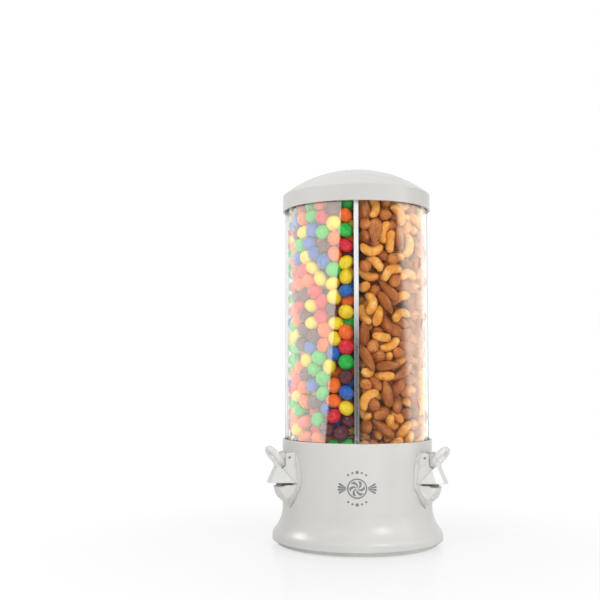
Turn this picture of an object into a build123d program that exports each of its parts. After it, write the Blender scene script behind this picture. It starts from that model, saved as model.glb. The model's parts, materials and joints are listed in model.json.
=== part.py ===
"""Countertop dispenser with three compartments, each emptied by its own finger lever.

Millimetres, +Z up, front towards -Y. The origin is the centre of the underside, on the axis
of the tube. Each spout is drawn once, pointing along +X, and turned to its azimuth.
"""

from build123d import *
from math import atan2, cos, degrees, pi, radians, sin, sqrt, tan
import os

# Layout: azimuths are measured from +X, counter-clockwise seen from above
spout_azimuths = {"left": 210, "right": 330, "back": 90}
ridge_azimuths = [30, 150, 270]
sides = 3
eps = 0.01

# Clearances
moving_gap = 0.3
seat_gap = 0.15
running_gap = 0.05
visible_groove = 0.3
port_wall_clearance = 0.1

# Base housing
base_radius = 71.0
base_wall = 2.0
base_height = 98.0
rim_rounding = 0.8
flare_width = 9.7
cove_radius = 30.5
shoulder_radius = 6.5
shoulder_height = 9.0
lip_bottom = 4.8
lip_foot_width = 4.0
lip_foot_height = 2.0
ledge_drop = 6.0
ledge_thickness = 2.5
ledge_width = 14.0

# Bottom plate, its screws and the non-slip pad
pad_stand = 0.8
pad_recess = 1.2
pad_inset = 4.2
pad_rounding = 0.5
plate_inset = 4.5
plate_rounding = 0.6
post_radius = 4.5
post_inset = 9.0
post_azimuths = [0, 120, 240]
screw_radius = 1.5
screw_head_radius = 2.9
screw_head_height = 1.6
bottom_screw_length = 14.0

# Hopper insert
spigot_wall = 3.3
spigot_drop = 4.0
port_step = 0.4
floor_angle = 24.0
floor_thickness = 2.4
ridge_half_width = 3.5
ridge_rise = 7.0
ridge_depth = 3.0
divider_seat_rise = 1.0
tube_rim_thickness = 2.6
insert_boss_radius = 4.5
insert_boss_inset = 2.5
insert_screw_length = 10.0

# Tube and its bayonet lugs
tube_wall = 2.1
tube_seat_depth = 11.9
lug_depth = 1.6
lug_width_angle = 4.5
lug_height = 4.0
lower_lug_rise = 2.4
upper_lug_drop = 6.5
tube_twist = 20.0
lid_twist = 25.0
slot_spare_angle = 3.5

# Divider
divider_thickness = 2.0
divider_bead_width = 4.2
divider_bead_depth = 1.6
divider_gap = 0.4
divider_step_rise = 1.0
divider_headroom = 1.5
divider_slot_gap = 0.2

# Lid
total_height = 356.0
dome_rise = 25.0
skirt_height = 15.0
lid_wall = 2.0
lid_edge_rounding = 1.2
lid_ring_wall = 3.1
lid_ring_rise = 2.5
tube_top_drop = 3.0

# Lever: pivot, arm, knob and finger ring
pivot_standoff = 5.2
pivot_drop = 14.5
pin_radius = 1.0
barrel_wall = 0.8
barrel_half_length = 7.3
arm_run = 6.4
arm_fall = 6.5
arm_half_width = 6.6
arm_half_thickness = 2.4
knob_radius = 4.6
knob_half_length = 4.8
knob_rounding = 3.6
ring_radius = 11.0
ring_overlap = 1.94
ring_bearing = 30.5
ring_lean = 38.0
ring_hole_radius = 6.0
ring_thickness = 5.0
ring_rounding = 2.1
spring_wire = 0.3
spring_play = 0.4
spring_turns = 4
spring_pitch = 1.2
spring_leg = 4.2
lever_swing = 38

# Hood of the lever, a hollow beak over the spout: reaches are measured from the wall
hood_height = 16.0
hood_wall = 2.0
hood_root_reach = 2.0
hood_root_half_width = 16.2
hood_cheek_reach = 16.5
hood_cheek_half_width = 10.0
hood_nose_reach = 22.0
hood_nose_half_width = 4.2
hood_top_root_half_width = 13.0
hood_top_cheek_reach = 10.5
hood_top_cheek_half_width = 8.0
hood_top_nose_reach = 14.0
hood_top_nose_half_width = 4.0
parting_root_reach = 2.2
parting_head_lead = 2.4
parting_head_drop = 0.5

# Spout body, in the spout's own frame: x outward, y along the wall, z up
flange_thickness = 1.5
flange_rise = 6.0
flange_foot_drop = 2.2
flange_half_width = 18.6
flange_widest_rise = 1.0
flange_taper_half_width = 13.4
flange_taper_drop = 10.3
flange_top_flat = 7.25
flange_lower_ends = [(0, -1), (-1, -0.75)]
flange_upper_ends = [(1, 0), (0.05, -1)]
flange_upper_pull = 0.8
port_half_width = 10.4
port_headroom = 1.0
port_depth = 0.9
sleeve_wall = 2.0
sleeve_end_gap = 0.5
trough_drop = 0.5
trough_length = 15.5
trough_front = 1.0
trough_half_width = 14.0
trough_nose_half_width = 8.0
corbel_height = 21.0
corbel_tip_drop = 1.0
corbel_side_ends = [(-0.25, -1), (-1, -0.9)]
corbel_face_ends = [(0, -1), (-1, -0.5)]
floor_fall = 0.12
cowl_inset = 1.3
cowl_wall = 1.8
spout_screw_radius = 1.2
spout_screw_head_radius = 2.2
spout_screw_head = 1.5
spout_screw_spacing = 8.0
spout_screw_rise = 8.0
spout_screw_bite = 2.1
cheek_radius = 4.6

# Radii that follow, from the housing inwards: tube, spigot, divider; the lid matches the housing
flare_radius = base_radius + flare_width
housing_inner = base_radius - base_wall
ledge_inner_radius = housing_inner - ledge_width
post_circle = base_radius - post_inset
plate_radius = flare_radius - plate_inset
pad_radius = plate_radius - pad_inset
tube_outer = housing_inner - moving_gap
tube_inner = tube_outer - tube_wall
tube_rim_radius = housing_inner - seat_gap
spigot_outer = tube_inner - moving_gap
spigot_inner = spigot_outer - spigot_wall
insert_boss_circle = spigot_inner - insert_boss_inset
lug_reach = tube_inner - lug_depth
slot_radius = lug_reach - moving_gap
divider_radius = tube_inner - divider_gap
divider_foot_radius = spigot_inner - divider_gap
lid_radius = base_radius
lid_ring_outer = tube_inner - moving_gap
lid_ring_inner = lid_ring_outer - lid_ring_wall
sleeve_inner_end = spigot_outer + sleeve_end_gap
flange_face = base_radius + flange_thickness
trough_reach = base_radius + trough_length
spout_screw_reach = flange_face + spout_screw_bite
pivot_reach = base_radius + pivot_standoff
knob_reach = pivot_reach + arm_run
ring_reach = knob_reach + (ring_radius - ring_overlap) * sin(radians(ring_bearing))

# Heights that follow: the spouts and the hopper hang from the base's rim, the lid from the top
spigot_height = base_height - spigot_drop
tube_bottom = base_height - tube_seat_depth
lower_lug_bottom = tube_bottom + lower_lug_rise
pivot_height = base_height - pivot_drop
knob_height = pivot_height - arm_fall
ring_height = knob_height + (ring_radius - ring_overlap) * cos(radians(ring_bearing))
hood_top = knob_height
hood_bottom = hood_top - hood_height
trough_rim = hood_bottom - trough_drop
port_bottom = trough_rim - port_depth
port_top = hood_top - port_headroom
port_middle = (port_bottom + port_top) / 2
port_rise = port_top - port_bottom
floor_low = port_bottom + port_step
ledge_height = floor_low - ledge_drop
corbel_foot = trough_rim - corbel_height
spout_screw_height = corbel_foot + spout_screw_rise
flange_top = pivot_height + flange_rise
flange_tip = corbel_foot - flange_foot_drop
flange_widest = hood_bottom + flange_widest_rise
skirt_top = total_height - dome_rise
skirt_bottom = skirt_top - skirt_height
tube_top = skirt_top - tube_top_drop
upper_lug_bottom = tube_top - upper_lug_drop
lid_ring_bottom = skirt_bottom + lid_ring_rise
divider_top = lid_ring_bottom - divider_headroom
divider_step = spigot_height + divider_step_rise
plate_top = lip_bottom - visible_groove
pad_top = pad_stand + pad_recess

# Forms that follow
floor_slope = tan(radians(floor_angle))
apex_height = floor_low + spigot_outer * floor_slope
ridge_slope = floor_slope * cos(pi / sides)
dome_radius = (lid_radius**2 + dome_rise**2) / (2 * dome_rise)
spring_coil = pin_radius + spring_wire + spring_play
spring_room = spring_coil + spring_wire + moving_gap
barrel_radius = spring_room + barrel_wall
cheek_slope = (hood_top_root_half_width - hood_top_cheek_half_width) / (
    hood_top_cheek_reach - hood_root_reach
)
pin_end_reach = pivot_standoff + pin_radius - hood_root_reach
cheek_at_pin = hood_top_root_half_width - cheek_slope * pin_end_reach - cowl_inset


def radial_plane(azimuth):
    """Vertical plane through the axis: local x points outward, local y points up."""
    a = radians(azimuth)
    return Plane(origin=(0, 0, 0), x_dir=(cos(a), sin(a), 0), z_dir=(sin(a), -cos(a), 0))


def wall_plane(azimuth):
    """Plane through the axis that faces outward: local x runs along the wall, local y up."""
    return Plane(
        origin=(0, 0, 0),
        x_dir=radial_plane(azimuth + 90).x_dir,
        z_dir=radial_plane(azimuth).x_dir,
    )


def ridge_height(radius):
    """Height of the hopper's ridge line at a distance from the axis."""
    return apex_height - ridge_slope * radius


def finish(block, name):
    """Labels a finished sub-part and writes it under its own name."""
    block.part.label = name
    export_step(block.part, f"parts/{name}.step")


os.makedirs("parts", exist_ok=True)

# Base housing: collar, cove and rolled lip are one shell of even wall
cove_centre_x = base_radius + cove_radius
shoulder_centre_x = flare_radius - shoulder_radius
centre_gap_x = cove_centre_x - shoulder_centre_x
cove_centre_z = shoulder_height + sqrt((cove_radius + shoulder_radius) ** 2 - centre_gap_x**2)
tangent_angle = degrees(atan2(cove_centre_z - shoulder_height, centre_gap_x))


def housing_outline(inset):
    """Half section of the housing's outer surface, or of its inner one at an inset."""
    side = base_radius - inset
    lip = flare_radius - inset
    CenterArc((cove_centre_x, cove_centre_z), cove_radius + inset, 180, tangent_angle)
    CenterArc((shoulder_centre_x, shoulder_height), shoulder_radius - inset, 0, tangent_angle)
    Polyline((0, base_height), (side, base_height), (side, cove_centre_z))
    Polyline((lip, shoulder_height), (lip, lip_bottom), (0, lip_bottom))
    Line((0, lip_bottom), (0, base_height))


with BuildPart() as base_housing:
    with BuildSketch(Plane.XZ):
        with BuildLine():
            housing_outline(0)
        make_face()
        with BuildLine():
            housing_outline(base_wall)
        make_face(mode=Mode.SUBTRACT)
    revolve(axis=Axis.Z)
    with BuildSketch(Plane.XY.offset(lip_bottom)):
        Circle(flare_radius - base_wall + eps)
        Circle(flare_radius - base_wall - lip_foot_width, mode=Mode.SUBTRACT)
    extrude(amount=lip_foot_height)
    rim = base_housing.edges().filter_by(GeomType.CIRCLE).group_by(Axis.Z)[-1]
    fillet(rim, rim_rounding)
    with BuildSketch(Plane.XY.offset(ledge_height - ledge_thickness)):
        Circle(housing_inner + eps)
        Circle(ledge_inner_radius, mode=Mode.SUBTRACT)
    extrude(amount=ledge_thickness)
    with BuildSketch(Plane.XY.offset(plate_top)):
        for azimuth in post_azimuths:
            with PolarLocations(post_circle, 1, azimuth):
                Circle(post_radius)
    extrude(until=Until.NEXT)
    with BuildSketch(Plane.XY.offset(plate_top)):
        for azimuth in post_azimuths:
            with PolarLocations(post_circle, 1, azimuth):
                Circle(screw_radius + running_gap)
    extrude(amount=bottom_screw_length, mode=Mode.SUBTRACT)
    with BuildSketch(Plane.XY.offset(ledge_height)):
        for azimuth in ridge_azimuths:
            with PolarLocations(insert_boss_circle, 1, azimuth):
                Circle(screw_radius + seat_gap)
    extrude(amount=-ledge_thickness, mode=Mode.SUBTRACT)
    for azimuth in spout_azimuths.values():
        with BuildSketch(wall_plane(azimuth).offset(spigot_outer)):
            opening = sleeve_wall + port_wall_clearance
            with Locations((0, port_middle)):
                Rectangle(2 * (port_half_width + opening), port_rise + 2 * opening)
            with Locations((0, spout_screw_height)):
                with GridLocations(spout_screw_spacing, 0, 2, 1):
                    Circle(spout_screw_radius + port_wall_clearance)
        extrude(amount=base_radius, mode=Mode.SUBTRACT)
finish(base_housing, "base_housing")


# Bottom plate: a flat disc, recessed for the pad and countersunk for the screws
with BuildPart() as bottom_plate:
    with BuildSketch(Plane.XY.offset(pad_stand)):
        Circle(plate_radius)
    extrude(amount=plate_top - pad_stand)
    fillet(bottom_plate.edges().group_by(Axis.Z)[0], plate_rounding)
    with BuildSketch(Plane.XY.offset(pad_stand)):
        Circle(pad_radius + running_gap)
    extrude(amount=pad_recess, mode=Mode.SUBTRACT)
    for azimuth in post_azimuths:
        with Locations(Plane.XY.offset(pad_top).rotated((180, 0, 0))):
            with PolarLocations(post_circle, 1, -azimuth):
                CounterSinkHole(screw_radius + running_gap, screw_head_radius + running_gap)
finish(bottom_plate, "bottom_plate")

# Countersunk screws under the pad, that hold the plate to the housing's posts
with BuildPart() as bottom_screws:
    for azimuth in post_azimuths:
        with BuildSketch(radial_plane(azimuth)):
            with BuildLine():
                Polyline(
                    (post_circle, pad_top),
                    (post_circle + screw_head_radius, pad_top),
                    (post_circle + screw_radius, pad_top + screw_head_radius - screw_radius),
                    (post_circle + screw_radius, pad_top + bottom_screw_length),
                    (post_circle, pad_top + bottom_screw_length),
                    close=True,
                )
            make_face()
        axis_point = (post_circle * cos(radians(azimuth)), post_circle * sin(radians(azimuth)), 0)
        revolve(axis=Axis(axis_point, (0, 0, 1)))
finish(bottom_screws, "bottom_screws")

# Round non-slip pad, glued into the plate
with BuildPart() as non_slip_pad:
    with BuildSketch():
        Circle(pad_radius)
    extrude(amount=pad_top)
    fillet(non_slip_pad.edges().group_by(Axis.Z)[0], pad_rounding)
finish(non_slip_pad, "non_slip_pad")

# One sloped floor of the hopper, for the sector that faces along +X
with BuildPart() as floor_panel:
    with BuildSketch(Plane.XZ):
        with BuildLine():
            Polyline(
                (-eps, apex_height),
                (spigot_outer, floor_low),
                (spigot_outer, floor_low - floor_thickness),
                (-eps, apex_height - floor_thickness),
                close=True,
            )
        make_face()
    extrude(amount=spigot_outer, both=True)
    with BuildSketch(Plane.XY.offset(ledge_height)):
        with BuildLine():
            corner = 2 * spigot_outer
            half_chord = corner * tan(pi / sides)
            Polyline((0, 0), (corner, -half_chord), (corner, half_chord), close=True)
        make_face()
    extrude(amount=apex_height, mode=Mode.INTERSECT)

# Hopper insert: three floors, the Y ridge that holds the divider, and the spigot with its slots
with BuildPart() as hopper_insert:
    for azimuth in spout_azimuths.values():
        add(floor_panel.part, rotation=(0, 0, azimuth))
    for azimuth in ridge_azimuths:
        with BuildSketch(radial_plane(azimuth)):
            with BuildLine():
                Polyline(
                    (0, ridge_height(0) - ridge_depth),
                    (spigot_outer, ridge_height(spigot_outer) - ridge_depth),
                    (spigot_outer, ridge_height(spigot_outer) + ridge_rise),
                    (0, ridge_height(0) + ridge_rise),
                    close=True,
                )
            make_face()
        extrude(amount=ridge_half_width, both=True)
    with BuildSketch(Plane.XY.offset(ledge_height)):
        Circle(spigot_outer)
    extrude(amount=spigot_height + ridge_rise, mode=Mode.INTERSECT)
    with BuildSketch(Plane.XY.offset(ledge_height)):
        Circle(spigot_outer)
        Circle(spigot_inner, mode=Mode.SUBTRACT)
    extrude(amount=spigot_height - ledge_height)
    rim_bottom = tube_bottom - moving_gap - tube_rim_thickness
    with BuildSketch(Plane.XY.offset(rim_bottom)):
        Circle(tube_rim_radius)
        Circle(spigot_outer - eps, mode=Mode.SUBTRACT)
    extrude(amount=tube_rim_thickness)
    with BuildSketch(Plane.XY.offset(ledge_height)):
        for azimuth in ridge_azimuths:
            with PolarLocations(insert_boss_circle, 1, azimuth):
                Circle(insert_boss_radius)
    extrude(until=Until.NEXT)
    with BuildSketch(Plane.XY.offset(ledge_height)):
        for azimuth in ridge_azimuths:
            with PolarLocations(insert_boss_circle, 1, azimuth):
                Circle(screw_radius + running_gap)
    extrude(amount=insert_screw_length, mode=Mode.SUBTRACT)
    for azimuth in ridge_azimuths:
        with BuildSketch(radial_plane(azimuth)):
            with BuildLine():
                Polyline(
                    (-divider_thickness, ridge_height(0) + divider_seat_rise),
                    (0, ridge_height(0) + divider_seat_rise),
                    (spigot_inner, ridge_height(spigot_inner) + divider_seat_rise),
                    (spigot_inner, spigot_height + ridge_rise),
                    (-divider_thickness, spigot_height + ridge_rise),
                    close=True,
                )
            make_face()
        extrude(amount=divider_thickness / 2 + divider_slot_gap, both=True, mode=Mode.SUBTRACT)
    for azimuth in spout_azimuths.values():
        with BuildSketch(wall_plane(azimuth).offset(spigot_inner - divider_thickness)):
            with Locations((0, (floor_low + port_top) / 2)):
                Rectangle(2 * port_half_width, port_top - floor_low)
        extrude(amount=divider_radius, mode=Mode.SUBTRACT)
        slot_start = azimuth - lug_width_angle / 2 - slot_spare_angle
        slot_sweep = tube_twist + lug_width_angle + 2 * slot_spare_angle
        entry_width = lug_width_angle + 2 * slot_spare_angle
        slot_middle = lower_lug_bottom + lug_height / 2
        slot_room = lug_height + 2 * moving_gap
        groove_depth = spigot_outer + eps - slot_radius
        with BuildSketch(radial_plane(slot_start)):
            with Locations((slot_radius + groove_depth / 2, slot_middle)):
                Rectangle(groove_depth, slot_room)
        revolve(axis=Axis.Z, revolution_arc=slot_sweep, mode=Mode.SUBTRACT)
        with BuildSketch(radial_plane(slot_start + slot_sweep - entry_width)):
            with Locations((slot_radius + groove_depth / 2, spigot_height)):
                Rectangle(groove_depth, 2 * (spigot_height - slot_middle))
        revolve(axis=Axis.Z, revolution_arc=entry_width, mode=Mode.SUBTRACT)
finish(hopper_insert, "hopper_insert")

# Pan-head screws up through the ledge into the insert
with BuildPart() as insert_screws:
    ledge_bottom = ledge_height - ledge_thickness
    for azimuth in ridge_azimuths:
        with BuildSketch(Plane.XY.offset(ledge_bottom)):
            with PolarLocations(insert_boss_circle, 1, azimuth):
                Circle(screw_head_radius)
        extrude(amount=-screw_head_height)
        with BuildSketch(Plane.XY.offset(ledge_bottom)):
            with PolarLocations(insert_boss_circle, 1, azimuth):
                Circle(screw_radius)
        extrude(amount=insert_screw_length)
finish(insert_screws, "insert_screws")

# Clear tube with three lugs inside each end
with BuildPart() as tube:
    with BuildSketch(Plane.XY.offset(tube_bottom)):
        Circle(tube_outer)
        Circle(tube_inner, mode=Mode.SUBTRACT)
    extrude(amount=tube_top - tube_bottom)
    for azimuth in spout_azimuths.values():
        for bottom in (lower_lug_bottom, upper_lug_bottom):
            with BuildSketch(radial_plane(azimuth - lug_width_angle / 2)):
                with Locations((tube_inner - lug_depth / 2, bottom + lug_height / 2)):
                    Rectangle(lug_depth + eps, lug_height)
            revolve(axis=Axis.Z, revolution_arc=lug_width_angle)
finish(tube, "tube")

# Divider: three clear walls that meet on the axis, narrower where they pass the spigot,
# with a bead along each outer edge
with BuildPart() as divider:
    for azimuth in ridge_azimuths:
        with BuildSketch(radial_plane(azimuth)):
            with BuildLine():
                Polyline(
                    (0, ridge_height(0) + divider_seat_rise),
                    (divider_foot_radius, ridge_height(divider_foot_radius) + divider_seat_rise),
                    (divider_foot_radius, divider_step),
                    (divider_radius, divider_step),
                    (divider_radius, divider_top),
                    (0, divider_top),
                    close=True,
                )
            make_face()
        extrude(amount=divider_thickness / 2, both=True)
        with BuildSketch(radial_plane(azimuth)):
            bead_middle = (divider_step + divider_top) / 2
            with Locations((divider_radius - divider_bead_depth / 2, bead_middle)):
                Rectangle(divider_bead_depth, divider_top - divider_step)
        extrude(amount=divider_bead_width / 2, both=True)
finish(divider, "divider")

# Lid: domed shell with a skirt, a stop that rests on the tube and a ring with bayonet slots
dome_centre = total_height - dome_radius


def dome_height(radius, inset=0):
    """Height of the dome's outer surface, or of its inner one at an inset."""
    return dome_centre + sqrt((dome_radius - inset) ** 2 - radius**2)


def dome_section(radius, inset, bottom):
    """Half section of the solid under the dome, out to a radius and down to a height."""
    top = dome_height(0, inset)
    edge = dome_height(radius, inset)
    half_way = radius / 2
    ThreePointArc((0, top), (half_way, dome_height(half_way, inset)), (radius, edge))
    Polyline((radius, edge), (radius, bottom), (0, bottom), (0, top))


with BuildPart() as lid:
    with BuildSketch(Plane.XZ):
        with BuildLine():
            dome_section(lid_radius, 0, skirt_bottom)
        make_face()
        with BuildLine():
            dome_section(lid_radius - lid_wall, lid_wall, skirt_bottom - lid_wall)
        make_face(mode=Mode.SUBTRACT)
    revolve(axis=Axis.Z)
    circles = lid.edges().filter_by(GeomType.CIRCLE)
    near_top = (skirt_top - lid_edge_rounding, skirt_top + lid_edge_rounding)
    edges = circles.filter_by_position(Axis.Z, *near_top)
    fillet(edges.sort_by(SortBy.RADIUS)[-1], lid_edge_rounding)
    rings = [
        (lid_ring_inner, lid_ring_outer, lid_ring_bottom),
        (lid_ring_outer - eps, lid_radius - lid_wall + eps, tube_top + moving_gap),
    ]
    for inner, outer, bottom in rings:
        with BuildSketch(Plane.XY.offset(bottom)):
            Circle(outer)
            Circle(inner, mode=Mode.SUBTRACT)
        top = (dome_height(outer) + dome_height(inner, lid_wall)) / 2
        extrude(amount=top - bottom)
    for azimuth in spout_azimuths.values():
        entry_width = lug_width_angle + 2 * slot_spare_angle
        slot_sweep = lid_twist + entry_width
        slot_start = azimuth + entry_width / 2 - slot_sweep
        slot_middle = upper_lug_bottom + lug_height / 2
        slot_room = lug_height + 2 * moving_gap
        groove_depth = lid_ring_outer + eps - slot_radius
        with BuildSketch(radial_plane(slot_start)):
            with Locations((slot_radius + groove_depth / 2, slot_middle)):
                Rectangle(groove_depth, slot_room)
        revolve(axis=Axis.Z, revolution_arc=slot_sweep, mode=Mode.SUBTRACT)
        with BuildSketch(radial_plane(slot_start)):
            with Locations((slot_radius + groove_depth / 2, lid_ring_bottom)):
                Rectangle(groove_depth, 2 * (slot_middle - lid_ring_bottom))
        revolve(axis=Axis.Z, revolution_arc=entry_width, mode=Mode.SUBTRACT)
finish(lid, "lid")


def beak_outline(points, inset, wall_end):
    """Plan of the beak at one level: its sides taper from the wall to a blunt nose."""
    right = [(wall_end, points[0][1] - inset)]
    right += [(x, y - inset) for x, y in points[:-1]]
    right += [(points[-1][0] - inset, points[-1][1] - inset / 2)]
    left = [(x, -y) for x, y in reversed(right)]
    Polyline(*right, *left, close=True)


hood_low = [
    (base_radius + hood_root_reach, hood_root_half_width),
    (base_radius + hood_cheek_reach, hood_cheek_half_width),
    (base_radius + hood_nose_reach, hood_nose_half_width),
]
hood_high = [
    (base_radius + hood_root_reach, hood_top_root_half_width),
    (base_radius + hood_top_cheek_reach, hood_top_cheek_half_width),
    (base_radius + hood_top_nose_reach, hood_top_nose_half_width),
]


def beak(inset, low, high, wall_end):
    """The tapering solid that hood and cowl share, at an inset from the hood's outside."""
    with BuildPart(mode=Mode.PRIVATE) as body:
        for level in (low, high):
            share = (level - hood_bottom) / (hood_top - hood_bottom)
            points = [
                (a[0] + (b[0] - a[0]) * share, a[1] + (b[1] - a[1]) * share)
                for a, b in zip(hood_low, hood_high)
            ]
            with BuildSketch(Plane.XY.offset(level)):
                with BuildLine():
                    beak_outline(points, inset, wall_end)
                make_face()
        loft(ruled=True)
    return body.part


# The parting plane leans from the wall out to the knob: hood in front of it, cowl behind
parting_foot = (base_radius + parting_root_reach, hood_bottom)
parting_head = (knob_reach + parting_head_lead, hood_top - parting_head_drop)
parting_run = parting_head[0] - parting_foot[0]
parting_rise = parting_head[1] - parting_foot[1]
parting_length = sqrt(parting_run**2 + parting_rise**2)
parting_normal = (parting_rise / parting_length, 0, -parting_run / parting_length)
parting_origin = (parting_foot[0], 0, parting_foot[1])
parting_plane = Plane(origin=parting_origin, x_dir=(0, 1, 0), z_dir=parting_normal)
behind_parting = parting_plane.offset(-moving_gap)
pivot_point = (pivot_reach, pivot_height)
knob_point = (knob_reach, knob_height)

# Plane along the middle of the lever's arm, facing the wall
arm_length = sqrt(arm_run**2 + arm_fall**2)
arm_plane = Plane(
    origin=(pivot_reach, 0, pivot_height),
    x_dir=(0, 1, 0),
    z_dir=(-arm_fall / arm_length, 0, -arm_run / arm_length),
)


def flange_half_outline():
    """Right half of the shield-shaped flange, seen from outside, pointed at its foot."""
    widest = (flange_half_width, flange_widest)
    taper = (flange_taper_half_width, flange_widest - flange_taper_drop)
    Spline(widest, taper, (0, flange_tip), tangents=flange_lower_ends)
    Line((0, flange_tip), (0, flange_top))
    Line((0, flange_top), (flange_top_flat, flange_top))
    Spline(
        (flange_top_flat, flange_top),
        widest,
        tangents=flange_upper_ends,
        tangent_scalars=[flange_upper_pull, flange_upper_pull],
    )


# Corbel under the trough: side view, front view and plan meet in one solid
with BuildPart() as corbel:
    with BuildSketch(Plane.XZ):
        with BuildLine():
            wall = base_radius - flange_thickness
            Polyline((flange_face, corbel_foot), (wall, corbel_foot), (wall, trough_rim))
            front_foot = (trough_reach, trough_rim - trough_front)
            Polyline((wall, trough_rim), (trough_reach, trough_rim), front_foot)
            Spline(front_foot, (flange_face, corbel_foot), tangents=corbel_side_ends)
        make_face()
    extrude(amount=trough_half_width, both=True)
    with BuildSketch(Plane.YZ.offset(wall)):
        with BuildLine():
            tip = corbel_foot - corbel_tip_drop
            Line((0, trough_rim), (trough_half_width, trough_rim))
            Spline((trough_half_width, trough_rim), (0, tip), tangents=corbel_face_ends)
            Line((0, tip), (0, trough_rim))
        make_face()
        mirror(about=Plane.YZ)
    extrude(amount=trough_reach, mode=Mode.INTERSECT)
    with BuildSketch(Plane.XY.offset(tip)):
        with BuildLine():
            nose = trough_nose_half_width / 2
            right = [
                (wall, trough_half_width),
                (flange_face, trough_half_width),
                (trough_reach - nose, trough_nose_half_width),
                (trough_reach, nose),
            ]
            Polyline(*right, *[(x, -y) for x, y in reversed(right)], close=True)
        make_face()
    extrude(amount=trough_rim, mode=Mode.INTERSECT)

# Cowl: the rear of the beak, closed above by a roof that lies under the lever's arm
roof_plane = arm_plane.offset(arm_half_thickness + 2 * moving_gap)
with BuildPart() as cowl:
    add(beak(cowl_inset, trough_rim, hood_top, base_radius - flange_thickness))
    split(bisect_by=behind_parting, keep=Keep.BOTTOM)
    split(bisect_by=roof_plane, keep=Keep.TOP)

# Cheeks: side walls that rise from the cowl round the pivot, with the lever between them
with BuildPart() as cheeks:
    with BuildSketch(Plane.XZ):
        with Locations(pivot_point):
            Circle(cheek_radius)
        with BuildLine():
            front = base_radius + hood_top_cheek_reach
            cheek_top = pivot_height + cheek_radius
            Polyline(
                (wall, hood_bottom),
                parting_foot,
                (front, hood_bottom + (front - parting_foot[0]) * parting_rise / parting_run),
                (front, knob_height),
                (pivot_reach, cheek_top),
                (wall, cheek_top),
                close=True,
            )
        make_face()
    extrude(amount=hood_top_root_half_width, both=True)
    with BuildSketch(Plane.XY.offset(hood_bottom)):
        with BuildLine():
            beak_outline(hood_high, cowl_inset, wall)
        make_face()
    extrude(amount=cheek_top, mode=Mode.INTERSECT)
    split(bisect_by=behind_parting, keep=Keep.BOTTOM)
    with BuildSketch(roof_plane):
        Rectangle(2 * (barrel_half_length + moving_gap), 2 * cheek_top)
    extrude(amount=-cheek_top, mode=Mode.SUBTRACT)

with BuildPart() as cowl_hollow:
    add(beak(cowl_inset + cowl_wall, trough_rim - flange_thickness, hood_top, flange_face))
    split(bisect_by=roof_plane.offset(cowl_wall), keep=Keep.TOP)

# Way for the sweets: from the port down the sloped floor of the trough
with BuildPart() as channel:
    with BuildSketch(Plane.XZ):
        with BuildLine():
            far = trough_reach + port_half_width
            Polyline(
                (base_radius, port_bottom - floor_fall * (base_radius - sleeve_inner_end)),
                (far, port_bottom - floor_fall * (far - sleeve_inner_end)),
                (far, hood_bottom + hood_wall),
                (base_radius, hood_bottom + hood_wall),
                close=True,
            )
        make_face()
    extrude(amount=port_half_width, both=True)
    with BuildSketch(Plane.XY.offset(corbel_foot)):
        with BuildLine():
            mouth = trough_nose_half_width - sleeve_wall
            right = [(base_radius, port_half_width), (flange_face, port_half_width), (far, mouth)]
            Polyline(*right, *[(x, -y) for x, y in reversed(right)], close=True)
        make_face()
    extrude(amount=hood_top, mode=Mode.INTERSECT)

# Spout body: flange, cowl, corbel, cheeks and a sleeve through the housing's port
with BuildPart() as spout_body:
    with BuildSketch(Plane.YZ.offset(spigot_outer)):
        with BuildLine():
            flange_half_outline()
        make_face()
        mirror(about=Plane.YZ)
    extrude(amount=base_radius)
    with BuildSketch(Plane.XY.offset(flange_tip - eps)):
        Circle(flange_face)
    extrude(amount=base_height, mode=Mode.INTERSECT)
    add(corbel.part)
    add(cowl.part)
    add(cheeks.part)
    with BuildSketch(Plane.XZ):
        with BuildLine():
            housing_outline(-running_gap)
        make_face()
    revolve(axis=Axis.Z, mode=Mode.SUBTRACT)
    with BuildSketch(Plane.YZ.offset(sleeve_inner_end)):
        with Locations((0, port_middle)):
            Rectangle(2 * (port_half_width + sleeve_wall), port_rise + 2 * sleeve_wall)
    extrude(amount=flange_face - sleeve_inner_end)
    with BuildSketch(Plane.YZ.offset(sleeve_inner_end)):
        with Locations((0, port_middle)):
            Rectangle(2 * port_half_width, port_rise)
    extrude(amount=flange_face - sleeve_inner_end + flange_thickness, mode=Mode.SUBTRACT)
    add(cowl_hollow.part, mode=Mode.SUBTRACT)
    add(channel.part, mode=Mode.SUBTRACT)
    with BuildSketch(Plane.XZ):
        with Locations(pivot_point):
            Circle(barrel_radius + moving_gap)
    extrude(amount=barrel_half_length + moving_gap, both=True, mode=Mode.SUBTRACT)
    with BuildSketch(Plane.XZ):
        with Locations(pivot_point):
            Circle(pin_radius)
    extrude(amount=hood_top_root_half_width, both=True, mode=Mode.SUBTRACT)
    with BuildSketch(Plane.XZ):
        with Locations(knob_point):
            Circle(knob_radius + 2 * moving_gap)
    extrude(amount=knob_half_length + moving_gap, both=True, mode=Mode.SUBTRACT)
    with BuildSketch(Plane.YZ.offset(sleeve_inner_end)):
        with Locations((0, spout_screw_height)):
            with GridLocations(spout_screw_spacing, 0, 2, 1):
                Circle(spout_screw_radius + running_gap)
    extrude(amount=spout_screw_reach - sleeve_inner_end, mode=Mode.SUBTRACT)

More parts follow.
